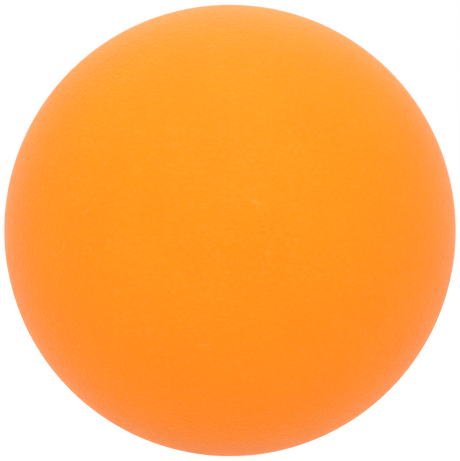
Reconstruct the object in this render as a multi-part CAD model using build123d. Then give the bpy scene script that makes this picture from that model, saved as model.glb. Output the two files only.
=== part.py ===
from build123d import *
import math
import os

# Table tennis ball: two moulded half shells, lapped at the seam and joined by a thin film of cement.
# Origin at the ball's centre, +Z up. The seam lies in the XZ plane, so the seam's axis is +Y: the front
# half shell is on the -Y side and the rear half shell on the +Y side. Millimetres.

# Driving dimensions
BALL_DIAMETER = 40.0
WALL = 0.5
LIP_THICKNESS = 0.45
LIP_REACH = 1.0  # how far the front shell's inner lip runs past the seam plane
LIP_LEAD_IN = 0.12  # chamfer on the lip's inner edge
SHOULDER = 1.0  # width of the thickened band behind the lip
SHOULDER_RUNOUT = 0.8  # length over which that band thins back to the wall
CEMENT_FILM = 0.05
CEMENT_BEAD = 0.25  # leg of the bead squeezed out at the lip's end
BEAD_HOLLOW = 0.06  # how far the bead's free face curves in

# Radii of the concentric spherical faces
OUTER_RADIUS = BALL_DIAMETER / 2
WALL_INNER_RADIUS = OUTER_RADIUS - WALL
LIP_OUTER_RADIUS = WALL_INNER_RADIUS - CEMENT_FILM
LIP_INNER_RADIUS = LIP_OUTER_RADIUS - LIP_THICKNESS

# Ends of the pieces along the seam's axis
FRONT_EDGE = -CEMENT_FILM / 2
REAR_EDGE = CEMENT_FILM / 2


def on_sphere(radius, y):
    """The point of the profile plane on a sphere about the origin, at y along the seam's axis."""
    return (math.sqrt(radius**2 - y**2), y)


def sphere_arc(radius, y_start, y_end):
    """The stretch of a sphere's profile between two places along the seam's axis."""
    middle = (math.asin(y_start / radius) + math.asin(y_end / radius)) / 2
    on_the_way = (radius * math.cos(middle), radius * math.sin(middle))
    return ThreePointArc(on_sphere(radius, y_start), on_the_way, on_sphere(radius, y_end))


def spin(edges):
    """The solid swept by a closed profile turned about the seam's axis."""
    return revolve(make_face(Wire(edges)), axis=Axis.Y)


def front_half_shell():
    """The half that carries the inner lip, with the thickened band that the lip grows from."""
    butt_outer = on_sphere(OUTER_RADIUS, FRONT_EDGE)
    butt_inner = on_sphere(LIP_OUTER_RADIUS, FRONT_EDGE)
    lip_tip = on_sphere(LIP_OUTER_RADIUS, LIP_REACH)
    lead_in_y = LIP_REACH - LIP_LEAD_IN
    lead_in_start = (on_sphere(LIP_INNER_RADIUS, LIP_REACH)[0] + LIP_LEAD_IN, LIP_REACH)
    lead_in_end = on_sphere(LIP_INNER_RADIUS, lead_in_y)
    band_end = on_sphere(LIP_INNER_RADIUS, -SHOULDER)
    runout_y = -SHOULDER - SHOULDER_RUNOUT
    wall_start = on_sphere(WALL_INNER_RADIUS, runout_y)
    return spin(
        [
            sphere_arc(OUTER_RADIUS, -OUTER_RADIUS, FRONT_EDGE),
            Line(butt_outer, butt_inner),
            sphere_arc(LIP_OUTER_RADIUS, FRONT_EDGE, LIP_REACH),
            Line(lip_tip, lead_in_start),
            Line(lead_in_start, lead_in_end),
            sphere_arc(LIP_INNER_RADIUS, lead_in_y, -SHOULDER),
            Line(band_end, wall_start),
            sphere_arc(WALL_INNER_RADIUS, runout_y, -WALL_INNER_RADIUS),
            Line((0, -WALL_INNER_RADIUS), (0, -OUTER_RADIUS)),
        ]
    )


def rear_half_shell():
    """The plain half, which closes over the lip."""
    return spin(
        [
            sphere_arc(OUTER_RADIUS, REAR_EDGE, OUTER_RADIUS),
            Line((0, OUTER_RADIUS), (0, WALL_INNER_RADIUS)),
            sphere_arc(WALL_INNER_RADIUS, WALL_INNER_RADIUS, REAR_EDGE),
            Line(on_sphere(WALL_INNER_RADIUS, REAR_EDGE), on_sphere(OUTER_RADIUS, REAR_EDGE)),
        ]
    )


def seam_cement():
    """The set film between the butting edges and along the lip, and the bead at the lip's end."""
    bead_y = LIP_REACH + CEMENT_BEAD
    lip_tip = on_sphere(LIP_OUTER_RADIUS, LIP_REACH)
    bead_on_lip = (lip_tip[0] - CEMENT_BEAD, LIP_REACH)
    bead_on_wall = on_sphere(WALL_INNER_RADIUS, bead_y)
    return spin(
        [
            sphere_arc(OUTER_RADIUS, FRONT_EDGE, REAR_EDGE),
            Line(on_sphere(OUTER_RADIUS, REAR_EDGE), on_sphere(WALL_INNER_RADIUS, REAR_EDGE)),
            sphere_arc(WALL_INNER_RADIUS, REAR_EDGE, bead_y),
            SagittaArc(bead_on_wall, bead_on_lip, BEAD_HOLLOW),
            Line(bead_on_lip, lip_tip),
            sphere_arc(LIP_OUTER_RADIUS, LIP_REACH, FRONT_EDGE),
            Line(on_sphere(LIP_OUTER_RADIUS, FRONT_EDGE), on_sphere(OUTER_RADIUS, FRONT_EDGE)),
        ]
    )


os.makedirs("parts", exist_ok=True)
for make in (front_half_shell, rear_half_shell, seam_cement):
    export_step(make(), f"parts/{make.__name__}.step")
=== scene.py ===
import math

import bmesh
import bpy
import numpy as np
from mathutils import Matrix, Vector, noise


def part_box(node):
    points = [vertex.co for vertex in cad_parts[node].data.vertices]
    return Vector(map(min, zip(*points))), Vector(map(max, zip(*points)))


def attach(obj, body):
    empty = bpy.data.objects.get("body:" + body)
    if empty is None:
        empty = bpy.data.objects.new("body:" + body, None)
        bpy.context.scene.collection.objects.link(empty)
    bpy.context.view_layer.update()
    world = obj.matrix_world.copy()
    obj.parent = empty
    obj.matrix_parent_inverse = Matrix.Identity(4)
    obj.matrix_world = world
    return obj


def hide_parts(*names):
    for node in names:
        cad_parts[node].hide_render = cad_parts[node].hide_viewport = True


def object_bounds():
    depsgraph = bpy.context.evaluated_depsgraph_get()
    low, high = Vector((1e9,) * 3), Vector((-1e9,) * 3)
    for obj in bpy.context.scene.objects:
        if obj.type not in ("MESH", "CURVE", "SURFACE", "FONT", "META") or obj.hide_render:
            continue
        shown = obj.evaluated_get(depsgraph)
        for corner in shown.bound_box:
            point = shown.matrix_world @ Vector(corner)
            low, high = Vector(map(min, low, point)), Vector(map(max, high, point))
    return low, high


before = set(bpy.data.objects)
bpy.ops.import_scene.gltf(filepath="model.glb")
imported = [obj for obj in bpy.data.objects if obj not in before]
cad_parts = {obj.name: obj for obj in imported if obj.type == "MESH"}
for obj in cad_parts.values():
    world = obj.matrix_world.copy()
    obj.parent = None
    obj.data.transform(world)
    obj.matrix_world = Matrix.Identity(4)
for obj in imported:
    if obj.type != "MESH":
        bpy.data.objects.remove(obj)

# Table tennis ball. Two thin half shells meet at a seam in the XZ plane, and a film of set cement
# joins them. Metres, in the CAD frame: origin at the ball's centre, +Z up, seam's axis +Y.
MM = 0.001
MICRON = 1e-6

# Sizes read from the frame
CAD_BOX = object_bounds()
CENTRE = (CAD_BOX[0] + CAD_BOX[1]) / 2
OUTER_RADIUS = (CAD_BOX[1].x - CAD_BOX[0].x) / 2
FLOOR_Z = CAD_BOX[0].z
REAR_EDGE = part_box("rear_half_shell")[0].y
FRONT_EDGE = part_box("seam_cement")[0].y
LIP_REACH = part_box("front_half_shell")[1].y
BEAD_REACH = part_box("seam_cement")[1].y


def smallest_radius(node):
    """How near a CAD node's surface comes to the ball's centre."""
    return min((v.co - CENTRE).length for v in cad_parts[node].data.vertices)


WALL_INNER_RADIUS = smallest_radius("rear_half_shell")
LIP_INNER_RADIUS = smallest_radius("front_half_shell")
LIP_OUTER_RADIUS = WALL_INNER_RADIUS - (REAR_EDGE - FRONT_EDGE)

# Details of the joint that the boxes don't give
LIP_LEAD_IN = 0.12 * MM
SHOULDER = 1.0 * MM
SHOULDER_RUNOUT = 0.8 * MM
BEAD_HOLLOW = 0.06 * MM
BEAD_HOLLOW_SLANT = 0.7  # the bead's face slants, so this share of its hollow lies along each axis
BEAD_MEAN = 0.75  # the bead's mean leg, as a share of its largest
BEAD_SWELL = 0.25  # how far the leg departs from that mean
BEAD_WAVES = 9  # how quickly it does so along the seam

# The moulded and tumbled surface, as depths below the full sphere
GROOVE_DEPTH = 16 * MICRON
GROOVE_HALF_WIDTH = 0.07 * MM
SINK_DEPTH = 5 * MICRON
SINK_WIDTH = 0.9 * MM
WAVE_DEPTH = 6 * MICRON
WAVE_LENGTH = 9 * MM
SATIN_DEPTH = 2.5 * MICRON
SATIN_LENGTH = 0.7 * MM
FRACTAL = (1.0, 2.0, 3)  # the fine noise's smoothness, its step in scale and its octaves
ON_SPHERE_WITHIN = 1 * MICRON

# Mesh density: edges along a quarter turn, outside and inside
OUTER_STEPS = 150
INNER_STEPS = OUTER_STEPS // 2
OUTER_ROWS = 58
INNER_ROWS = 28
SEAM_BAND = 1.8 * MM
SEAM_ROWS = 13
LIP_OUTSIDE_ROWS = 4
LIP_INSIDE_ROWS = 5
JOINT_ROWS = 4
FRONT_DOME_START = 1.2  # where the inner dome starts, as a multiple of the run-out's end
REAR_DOME_START = 1.4  # and as a multiple of the bead's end
CORNER_ANGLE = math.radians(30)  # edges sharper than this stay sharp

# Stage, light and camera
WORLD_LIGHT = 1.0
FLOOR_GLOW = 0.93
FLOOR_HALF = 2.5
CAMERA_DISTANCE = 0.50
CAMERA_ELEVATION = 0.0  # degrees
CAMERA_REACH = 50
SENSOR_WIDTH = 36.0
BALL_SHARE = 0.97961  # the outline's diameter as a share of the image's long side
SOFTBOXES = (  # name, place, side of the square, watts
    ("front_softbox", (-0.02, -0.36, 0.38), 0.3, 1.42),
    ("top_softbox", (0.0, 0.12, 0.50), 0.4, 0.55),
    ("back_softbox", (0.0, 0.38, 0.34), 0.4, 0.45),
)


# ---------------------------------------------------------------- meshes


def around(steps):
    """Azimuths of a ring's points: four quarters of that many steps, from a corner of the cap."""
    return np.radians(-45 + 90 / steps * np.arange(4 * steps))


def ring(steps, from_axis, y):
    """A ring about the seam's axis."""
    a = around(steps)
    return np.stack([from_axis * np.cos(a), np.full_like(a, y), from_axis * np.sin(a)], axis=1)


def sphere_ring(steps, radius, y):
    """A ring on a sphere about the ball's centre."""
    return ring(steps, math.sqrt(radius**2 - y**2), y)


def cap_index(steps, i, j):
    """Where the cap's grid point lies on its border ring, or None inside the cap."""
    if i == steps and j < steps:
        return j
    if j == steps:
        return 2 * steps - i
    if i == 0:
        return 3 * steps - j
    if j == 0:
        return 3 * steps + i
    return None


class Shell:
    """Rings and domes, joined one after the other into one closed surface."""

    def __init__(self):
        self.points = []
        self.faces = []
        self.last = None

    def add(self, points):
        """Adds points and gives their numbers."""
        first = len(self.points)
        self.points.extend(map(tuple, points))
        return list(range(first, len(self.points)))

    def strip(self, a, b):
        """Faces between two rings, where the second may have half as many points."""
        n = len(b)
        if len(a) == n:
            self.faces += [(a[k], a[(k + 1) % n], b[(k + 1) % n], b[k]) for k in range(n)]
            return
        for k in range(n):
            start, middle, end = a[2 * k], a[2 * k + 1], a[(2 * k + 2) % len(a)]
            self.faces += [
                (start, middle, b[k]),
                (middle, b[(k + 1) % n], b[k]),
                (middle, end, b[(k + 1) % n]),
            ]

    def ring(self, points):
        """Adds a ring, joined to the one before."""
        new = self.add(points)
        if self.last is not None:
            self.strip(self.last, new)
        self.last = new

    def dome(self, steps, radius, side, y_start, rows, outward):
        """Rows from a ring at y_start up to a square cap over the pole.

        An outward dome is the first part of the surface, so what follows joins its lowest row. Any
        other dome closes the surface, so its lowest row joins what came before.
        """
        start = math.asin(abs(y_start) / radius)
        a = around(steps)
        reach = np.tan(np.radians(np.mod(np.degrees(a) + 45, 90) - 45))
        top = np.arctan(1 / np.sqrt(1 + reach**2))
        stack = []
        for row in range(rows + 1):
            lat = start + (top - start) * row / rows
            from_axis = np.cos(lat)
            way = [from_axis * np.cos(a), side * np.sin(lat), from_axis * np.sin(a)]
            stack.append(radius * np.stack(way, axis=1))
        if outward:
            rings = [self.add(points) for points in stack]
            for lower, upper in zip(rings, rings[1:]):
                self.strip(lower, upper)
            self.cap(steps, radius, side, rings[-1])
            self.last = rings[0]
        else:
            for points in stack:
                self.ring(points)
            self.cap(steps, radius, side, self.last)

    def cap(self, steps, radius, side, border):
        """The square patch over the pole, whose border is the last row."""
        grid = np.empty((steps + 1, steps + 1), int)
        spread = np.tan(np.radians(np.linspace(-45, 45, steps + 1)))
        for i in range(steps + 1):
            for j in range(steps + 1):
                k = cap_index(steps, i, j)
                if k is not None:
                    grid[i, j] = border[k]
                    continue
                way = np.array([spread[i], side, spread[j]])
                self.points.append(tuple(way * radius / np.linalg.norm(way)))
                grid[i, j] = len(self.points) - 1
        for i in range(steps):
            for j in range(steps):
                self.faces.append((grid[i, j], grid[i + 1, j], grid[i + 1, j + 1], grid[i, j + 1]))


def groove_depth(y):
    """The hairline groove along the seam, and the shallow sink that the joint leaves beside it."""
    sharp = GROOVE_DEPTH * math.exp(-((y / GROOVE_HALF_WIDTH) ** 2))
    broad = SINK_DEPTH * math.exp(-((y / SINK_WIDTH) ** 2))
    return sharp + broad


def surface_depth(p):
    """How far below the full sphere the real surface lies at a point on it, never less than 0."""
    p = Vector(p)
    wave = 0.5 + 0.5 * noise.noise(p / WAVE_LENGTH)
    satin = 0.5 + 0.5 * noise.fractal(p / SATIN_LENGTH, *FRACTAL)
    return groove_depth(p.y) + WAVE_DEPTH * max(wave, 0) + SATIN_DEPTH * max(satin, 0)


def weather(points):
    """Moves every point of the outer sphere inwards to the real surface."""
    worn = []
    for p in points:
        r = math.sqrt(p[0] ** 2 + p[1] ** 2 + p[2] ** 2)
        share = 1 - surface_depth(p) / r if r > OUTER_RADIUS - ON_SPHERE_WITHIN else 1
        worn.append((p[0] * share, p[1] * share, p[2] * share))
    return worn


def piece_from(name, points, faces, material):
    """A shown piece in place, smooth apart from its real corners."""
    mesh = bpy.data.meshes.new(name)
    mesh.from_pydata(points, [], faces)
    edit = bmesh.new()
    edit.from_mesh(mesh)
    bmesh.ops.recalc_face_normals(edit, faces=edit.faces)
    edit.to_mesh(mesh)
    edit.free()
    mesh.shade_smooth()
    mesh.set_sharp_from_angle(angle=CORNER_ANGLE)
    mesh.materials.append(material)
    piece = bpy.data.objects.new(name, mesh)
    bpy.context.scene.collection.objects.link(piece)
    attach(piece, "root")
    return piece


def seam_rows(edge, band):
    """Where the fine rows between a shell's edge and its dome lie, closer together at the edge."""
    share = (np.arange(SEAM_ROWS) / SEAM_ROWS) ** 2
    return [edge + (band - edge) * s for s in share]


def outer_skin(shell, side, edge):
    """The outside of a half shell, from its dome down to its edge at the seam."""
    band = side * SEAM_BAND
    shell.dome(OUTER_STEPS, OUTER_RADIUS, side, band, OUTER_ROWS, outward=True)
    for y in reversed(seam_rows(edge, band)):
        shell.ring(sphere_ring(OUTER_STEPS, OUTER_RADIUS, y))


def front_shell(material):
    """The half with the inner lip: outside, lip, thickened band, then the inside."""
    shell = Shell()
    outer_skin(shell, -1, FRONT_EDGE)
    lead_in_y = LIP_REACH - LIP_LEAD_IN
    tip_inner = math.sqrt(LIP_INNER_RADIUS**2 - LIP_REACH**2) + LIP_LEAD_IN
    runout_y = -SHOULDER - SHOULDER_RUNOUT
    shell.ring(sphere_ring(OUTER_STEPS, LIP_OUTER_RADIUS, FRONT_EDGE))
    for y in np.linspace(FRONT_EDGE, LIP_REACH, LIP_OUTSIDE_ROWS)[1:]:
        shell.ring(sphere_ring(OUTER_STEPS, LIP_OUTER_RADIUS, y))
    shell.ring(ring(OUTER_STEPS, tip_inner, LIP_REACH))
    for y in np.linspace(lead_in_y, -SHOULDER, LIP_INSIDE_ROWS):
        shell.ring(sphere_ring(OUTER_STEPS, LIP_INNER_RADIUS, y))
    shell.ring(sphere_ring(OUTER_STEPS, WALL_INNER_RADIUS, runout_y))
    inner_start = runout_y * FRONT_DOME_START
    shell.dome(INNER_STEPS, WALL_INNER_RADIUS, -1, inner_start, INNER_ROWS, outward=False)
    return piece_from("front_half_shell_frosted", weather(shell.points), shell.faces, material)


def rear_shell(material):
    """The plain half: outside, edge, then the inside."""
    shell = Shell()
    outer_skin(shell, 1, REAR_EDGE)
    for y in np.linspace(REAR_EDGE, BEAD_REACH, JOINT_ROWS):
        shell.ring(sphere_ring(OUTER_STEPS, WALL_INNER_RADIUS, y))
    inner_start = BEAD_REACH * REAR_DOME_START
    shell.dome(INNER_STEPS, WALL_INNER_RADIUS, 1, inner_start, INNER_ROWS, outward=False)
    return piece_from("rear_half_shell_frosted", weather(shell.points), shell.faces, material)


def bead_leg(azimuth):
    """The bead's height on the lip's end, which swells and thins along the seam."""
    largest = BEAD_REACH - LIP_REACH
    turn = Vector((math.cos(azimuth), math.sin(azimuth), 0))
    return largest * (BEAD_MEAN + BEAD_SWELL * noise.fractal(turn * BEAD_WAVES, *FRACTAL))


def cement_section(azimuth):
    """The cement's closed outline at one azimuth, as (distance from the axis, y)."""
    leg = min(bead_leg(azimuth), BEAD_REACH - LIP_REACH)
    film_top = OUTER_RADIUS - groove_depth(0) - WAVE_DEPTH * 0.5 - SATIN_DEPTH
    tip = math.sqrt(LIP_OUTER_RADIUS**2 - LIP_REACH**2)
    bead_y = LIP_REACH + leg
    on_wall = math.sqrt(WALL_INNER_RADIUS**2 - bead_y**2)
    on_lip = tip - leg
    hollow = BEAD_HOLLOW * BEAD_HOLLOW_SLANT
    middle = ((on_wall + on_lip) / 2 + hollow, (bead_y + LIP_REACH) / 2 - hollow)
    return [
        (film_top, FRONT_EDGE),
        (film_top, REAR_EDGE),
        (WALL_INNER_RADIUS, REAR_EDGE),
        (math.sqrt(WALL_INNER_RADIUS**2 - (LIP_REACH / 2) ** 2), LIP_REACH / 2),
        (math.sqrt(WALL_INNER_RADIUS**2 - LIP_REACH**2), LIP_REACH),
        (on_wall, bead_y),
        middle,
        (on_lip, LIP_REACH),
        (tip, LIP_REACH),
        (math.sqrt(LIP_OUTER_RADIUS**2 - (LIP_REACH / 2) ** 2), LIP_REACH / 2),
        (LIP_OUTER_RADIUS, FRONT_EDGE),
    ]


def cement_ring(material):
    """The cement's outline, carried round the seam."""
    azimuths = around(OUTER_STEPS)
    sections = [cement_section(a) for a in azimuths]
    size = len(sections[0])
    points = []
    for a, section in zip(azimuths, sections):
        points += [(r * math.cos(a), y, r * math.sin(a)) for r, y in section]
    faces = []
    for k in range(len(azimuths)):
        here, there = k * size, (k + 1) % len(azimuths) * size
        for m in range(size):
            n = (m + 1) % size
            faces.append((here + m, here + n, there + n, there + m))
    return piece_from("seam_cement_ring", points, faces, material)


# ---------------------------------------------------------------- materials

# Colours, as linear light
ORANGE_DEEP = (0.91, 0.217, 0.0012, 1)
ORANGE_PALE = (0.93, 0.225, 0.0020, 1)
# pale colour: painted sheen and glints of the frost, and also the paler scuffs of the scratches
PAINTED_SHEEN_AND_SCUFF = (0.98, 0.38, 0.09, 1)
# deeper colour of the doubled wall, with painted shade where less light passes through it
DOUBLED_WALL_PAINTED_SHADE = (0.86, 0.200, 0.001, 1)
SEAM_LINE = (0.70, 0.145, 0.001, 1)
CEMENT_DEEP = (0.74, 0.19, 0.008, 1)
CEMENT_PALE = (0.84, 0.235, 0.012, 1)
FLOOR_DULL = (0.145, 0.145, 0.145, 1)
FLOOR_BRIGHT = (0.155, 0.155, 0.155, 1)
WHITE = (1, 1, 1, 1)

# Lengths in the materials, in millimetres
CLOUD = 7.0
PATCH = 4.0
MOTTLE = 0.42
SPECK_CELL = 0.55
SPECK_RADIUS = 0.2
FROST_GRAIN = 0.35
FROST_RELIEF = 0.17
ROUGH_GRAIN = 0.6
SCRATCH_WIDTH = 0.35
SCRATCH_PATCH = 5.0
SCRATCH_RELIEF = 0.002
LINE_INNER, LINE_OUTER = 0.05, 0.15  # the seam's line fades out between these distances from the seam
RIB_INNER, RIB_OUTER = 0.85, 1.35  # and so does the painted shade over the thicker band
CEMENT_CLOUD = 1.5
CEMENT_GRAIN = 0.4
CEMENT_LUMP = 0.3
CEMENT_RELIEF = 0.004
FLOOR_CLOUD = 60.0

# How strongly each mark shows
# the mottle and specks are painted sheen of the frost catching light
MOTTLE_SHARE = 0.13
SPECK_SHARE = 0.08
SPECKED_CELLS = 0.4
SCRATCH_SHARE = 0.25
RIB_SHARE = 0.35
LINE_SHARE = 0.6

# Gloss
PLASTIC_ROUGH, PLASTIC_ROUGH_SPAN = 0.44, 0.16
LINE_SMOOTHER = 0.12
SCRATCH_SMOOTHER = 0.10
PLASTIC_IOR = 1.5
PLASTIC_SPECULAR = 0.093
FROST_SHEEN = 0.22
FROST_SHEEN_ROUGH = 0.18
CEMENT_ROUGH, CEMENT_ROUGH_SPAN = 0.32, 0.15
CEMENT_SPECULAR = 0.3
FLOOR_ROUGH = 0.7
FLOOR_SPECULAR = 0.2


class Graph:
    """A material's node tree, with short calls for the nodes used here. Its lengths are millimetres."""

    def __init__(self, name):
        self.material = bpy.data.materials.new(name)
        self.material.use_nodes = True
        self.tree = self.material.node_tree
        self.shader = self.tree.nodes["Principled BSDF"]
        coordinates = self.add("ShaderNodeTexCoord").outputs["Object"]
        scale = self.add("ShaderNodeVectorMath", operation="SCALE")
        scale.inputs["Scale"].default_value = 1 / MM
        self.link(coordinates, scale.inputs[0])
        self.place = scale.outputs[0]

    def add(self, kind, **settings):
        """A new node."""
        made = self.tree.nodes.new(kind)
        for key, value in settings.items():
            setattr(made, key, value)
        return made

    def link(self, out, into):
        self.tree.links.new(out, into)

    def feed(self, socket, value):
        """Sets a socket, or links it when the value is another node's output."""
        if isinstance(value, bpy.types.NodeSocket):
            self.link(value, socket)
        else:
            socket.default_value = value

    def noise(self, length, detail=2.0, roughness=0.5, stretch=None):
        """Noise with features about that long, from 0 to 1 about 0.5."""
        made = self.add("ShaderNodeTexNoise")
        place = self.place
        if stretch:
            mapping = self.add("ShaderNodeMapping")
            mapping.inputs["Rotation"].default_value = stretch[0]
            mapping.inputs["Scale"].default_value = stretch[1]
            self.link(place, mapping.inputs["Vector"])
            place = mapping.outputs["Vector"]
        self.link(place, made.inputs["Vector"])
        made.inputs["Scale"].default_value = 1 / length
        made.inputs["Detail"].default_value = detail
        made.inputs["Roughness"].default_value = roughness
        return made.outputs["Fac"]

    def math(self, operation, a, b=0.0, clamp=False):
        made = self.add("ShaderNodeMath", operation=operation, use_clamp=clamp)
        self.feed(made.inputs[0], a)
        self.feed(made.inputs[1], b)
        return made.outputs[0]

    def fade(self, value, low, high, to_low=0.0, to_high=1.0):
        """A smooth step of value from low to high."""
        made = self.add("ShaderNodeMapRange", interpolation_type="SMOOTHSTEP")
        self.feed(made.inputs["Value"], value)
        limits = {"From Min": low, "From Max": high, "To Min": to_low, "To Max": to_high}
        for name, number in limits.items():
            made.inputs[name].default_value = number
        return made.outputs["Result"]

    def varied(self, value, low, span):
        """A value from 0 to 1, stretched to run from low over that span."""
        return self.math("ADD", self.math("MULTIPLY", value, span), low)

    def mix(self, share, a, b):
        """Colour a, with that share of colour b."""
        made = self.add("ShaderNodeMix", data_type="RGBA")
        self.feed(made.inputs["Factor"], share)
        self.feed(made.inputs["A"], a)
        self.feed(made.inputs["B"], b)
        return made.outputs["Result"]

    def specks(self, cell, radius, share):
        """Round specks: in that share of the cells, one of that radius."""
        made = self.add("ShaderNodeTexVoronoi")
        self.link(self.place, made.inputs["Vector"])
        made.inputs["Scale"].default_value = 1 / cell
        chosen = self.add("ShaderNodeSeparateColor")
        self.link(made.outputs["Color"], chosen.inputs["Color"])
        present = self.math("LESS_THAN", chosen.outputs["Red"], share)
        spot = self.fade(made.outputs["Distance"], 0.4 * radius / cell, radius / cell, 1.0, 0.0)
        return self.math("MULTIPLY", present, spot)

    def from_seam(self):
        """Distance from the seam plane."""
        split = self.add("ShaderNodeSeparateXYZ")
        self.link(self.place, split.inputs[0])
        return self.math("ABSOLUTE", split.outputs["Y"])

    def bump(self, height, depth, before=None):
        """A normal whose relief is that deep, in millimetres."""
        made = self.add("ShaderNodeBump")
        made.inputs["Strength"].default_value = 1.0
        made.inputs["Distance"].default_value = depth * MM
        self.link(height, made.inputs["Height"])
        if before:
            self.link(before, made.inputs["Normal"])
        return made.outputs["Normal"]


def frosted_plastic():
    """Orange plastic, tumbled to a fine frost, with a paler mottle and specks painted on as sheen of
    the frost catching light, and a few handling scratches.
    """
    g = Graph("frosted_orange_plastic")
    painted_frost_sheen = painted_sheen_marks(g)
    scratches = scratch_marks(g)
    seam = g.from_seam()
    line = g.fade(seam, LINE_INNER, LINE_OUTER, 1.0, 0.0)
    rib_painted_shade = g.fade(seam, RIB_INNER, RIB_OUTER, 1.0, 0.0)

    colour = g.mix(g.fade(g.noise(CLOUD, 3.0), 0.35, 0.65), ORANGE_DEEP, ORANGE_PALE)
    # painted sheen: pale mottle and specks where the frost catches light
    colour = g.mix(painted_frost_sheen, colour, PAINTED_SHEEN_AND_SCUFF)
    colour = g.mix(g.math("MULTIPLY", scratches, SCRATCH_SHARE), colour, PAINTED_SHEEN_AND_SCUFF)
    # painted shade: the band over the doubled wall beside the seam, darker as if less light came
    # through it
    colour = g.mix(g.math("MULTIPLY", rib_painted_shade, RIB_SHARE), colour, DOUBLED_WALL_PAINTED_SHADE)
    colour = g.mix(g.math("MULTIPLY", line, LINE_SHARE), colour, SEAM_LINE)
    g.link(colour, g.shader.inputs["Base Color"])

    rough = g.varied(g.noise(ROUGH_GRAIN, 3.0), PLASTIC_ROUGH, PLASTIC_ROUGH_SPAN)
    rough = g.math("SUBTRACT", rough, g.math("MULTIPLY", line, LINE_SMOOTHER))
    rough = g.math("SUBTRACT", rough, g.math("MULTIPLY", scratches, SCRATCH_SMOOTHER), clamp=True)
    g.link(rough, g.shader.inputs["Roughness"])

    normal = g.bump(g.noise(FROST_GRAIN, 3.0, 0.65), FROST_RELIEF)
    normal = g.bump(scratches, SCRATCH_RELIEF, normal)
    g.link(normal, g.shader.inputs["Normal"])

    g.shader.inputs["IOR"].default_value = PLASTIC_IOR
    g.shader.inputs["Specular IOR Level"].default_value = PLASTIC_SPECULAR
    g.shader.inputs["Sheen Weight"].default_value = FROST_SHEEN
    g.shader.inputs["Sheen Roughness"].default_value = FROST_SHEEN_ROUGH
    return g.material


def painted_sheen_marks(g):
    """How strongly the painted sheen of the frost shows: pale glints as a soft mottle and small specks,
    denser in patches.
    """
    mottle = g.math("MULTIPLY", g.fade(g.noise(MOTTLE, 3.0, 0.6), 0.48, 0.74), MOTTLE_SHARE)
    specks = g.math("MULTIPLY", g.specks(SPECK_CELL, SPECK_RADIUS, SPECKED_CELLS), SPECK_SHARE)
    patches = g.fade(g.noise(PATCH, 2.0), 0.35, 0.65, 0.5, 1.0)
    return g.math("MULTIPLY", g.math("ADD", mottle, specks), patches)


def scratch_marks(g):
    """Hairline scratches in three directions, broken up so that only a few stretches show."""
    directions = (  # rotation, then the scale along each axis, smallest along the scratch
        ((0.3, 0.2, 0.5), (0.10, 1.0, 1.0)),
        ((1.1, 0.7, 0.2), (1.0, 0.08, 1.0)),
        ((0.6, 1.4, 1.0), (1.0, 1.0, 0.09)),
    )
    streaks = [g.fade(g.noise(SCRATCH_WIDTH, 0.0, stretch=way), 0.79, 0.84) for way in directions]
    total = g.math("MAXIMUM", g.math("MAXIMUM", streaks[0], streaks[1]), streaks[2])
    patches = g.fade(g.noise(SCRATCH_PATCH, 1.0), 0.56, 0.66)
    return g.math("MULTIPLY", total, patches)


def set_cement():
    """The ball's own plastic, dissolved and set again: deeper in colour and smoother."""
    g = Graph("set_seam_cement")
    cloud = g.fade(g.noise(CEMENT_CLOUD, 3.0), 0.3, 0.7)
    g.link(g.mix(cloud, CEMENT_DEEP, CEMENT_PALE), g.shader.inputs["Base Color"])
    rough = g.varied(g.noise(CEMENT_GRAIN, 2.0), CEMENT_ROUGH, CEMENT_ROUGH_SPAN)
    g.link(rough, g.shader.inputs["Roughness"])
    g.link(g.bump(g.noise(CEMENT_LUMP, 2.0), CEMENT_RELIEF), g.shader.inputs["Normal"])
    g.shader.inputs["Specular IOR Level"].default_value = CEMENT_SPECULAR
    return g.material


def floor_material():
    """Plain white sweep, lit from within just enough to keep the ball's shadow pale."""
    g = Graph("white_sweep")
    tone = g.mix(g.fade(g.noise(FLOOR_CLOUD, 2.0), 0.3, 0.7), FLOOR_DULL, FLOOR_BRIGHT)
    g.link(tone, g.shader.inputs["Base Color"])
    g.shader.inputs["Roughness"].default_value = FLOOR_ROUGH
    g.shader.inputs["Specular IOR Level"].default_value = FLOOR_SPECULAR
    g.shader.inputs["Emission Color"].default_value = WHITE
    g.shader.inputs["Emission Strength"].default_value = FLOOR_GLOW
    return g.material


# ---------------------------------------------------------------- stage, light and camera


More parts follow.
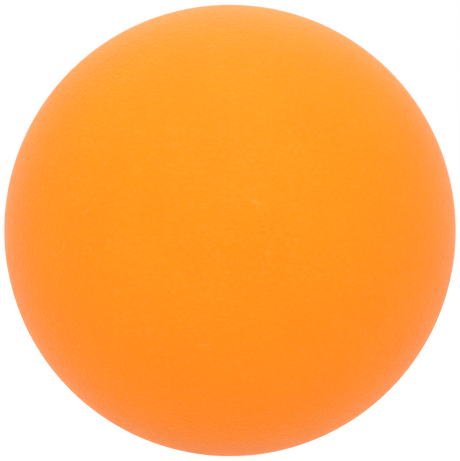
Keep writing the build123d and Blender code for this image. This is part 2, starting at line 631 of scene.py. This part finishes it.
def make_floor():
    """The sweep that the ball stands on."""
    mesh = bpy.data.meshes.new("floor")
    h = FLOOR_HALF
    corners = [(-h, -h, FLOOR_Z), (h, -h, FLOOR_Z), (h, h, FLOOR_Z), (-h, h, FLOOR_Z)]
    mesh.from_pydata(corners, [], [(0, 1, 2, 3)])
    mesh.materials.append(floor_material())
    floor = bpy.data.objects.new("floor", mesh)
    bpy.context.scene.collection.objects.link(floor)


def make_world():
    """Even white light from all round."""
    world = bpy.data.worlds.new("white_studio")
    world.use_nodes = True
    background = world.node_tree.nodes["Background"]
    background.inputs["Color"].default_value = WHITE
    background.inputs["Strength"].default_value = WORLD_LIGHT
    bpy.context.scene.world = world


def softbox(name, place, size, power):
    """A square area light that faces the ball."""
    data = bpy.data.lights.new(name, "AREA")
    data.shape = "SQUARE"
    data.size = size
    data.energy = power
    light = bpy.data.objects.new(name, data)
    light.location = place
    light.rotation_mode = "QUATERNION"
    light.rotation_quaternion = (CENTRE - Vector(place)).to_track_quat("-Z", "Y")
    bpy.context.scene.collection.objects.link(light)


def make_camera():
    """A level long lens, from which the outline fills the frame as a close product shot does."""
    data = bpy.data.cameras.new("camera")
    data.sensor_width = SENSOR_WIDTH
    half_angle = math.asin(OUTER_RADIUS / CAMERA_DISTANCE)
    data.lens = BALL_SHARE / 2 * SENSOR_WIDTH / math.tan(half_angle)
    data.clip_end = CAMERA_REACH
    camera = bpy.data.objects.new("camera", data)
    e = math.radians(CAMERA_ELEVATION)
    back = Vector((0, -math.cos(e), math.sin(e)))
    camera.location = CENTRE + back * CAMERA_DISTANCE
    camera.rotation_mode = "QUATERNION"
    camera.rotation_quaternion = (-back).to_track_quat("-Z", "Y")
    bpy.context.scene.collection.objects.link(camera)
    bpy.context.scene.camera = camera


make_camera()
plastic = frosted_plastic()
front = front_shell(plastic)
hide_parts("front_half_shell")
rear = rear_shell(plastic)
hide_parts("rear_half_shell")
cement = cement_ring(set_cement())
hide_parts("seam_cement")

make_floor()
make_world()
for box in SOFTBOXES:
    softbox(*box)
bpy.context.scene.view_settings.view_transform = "Standard"
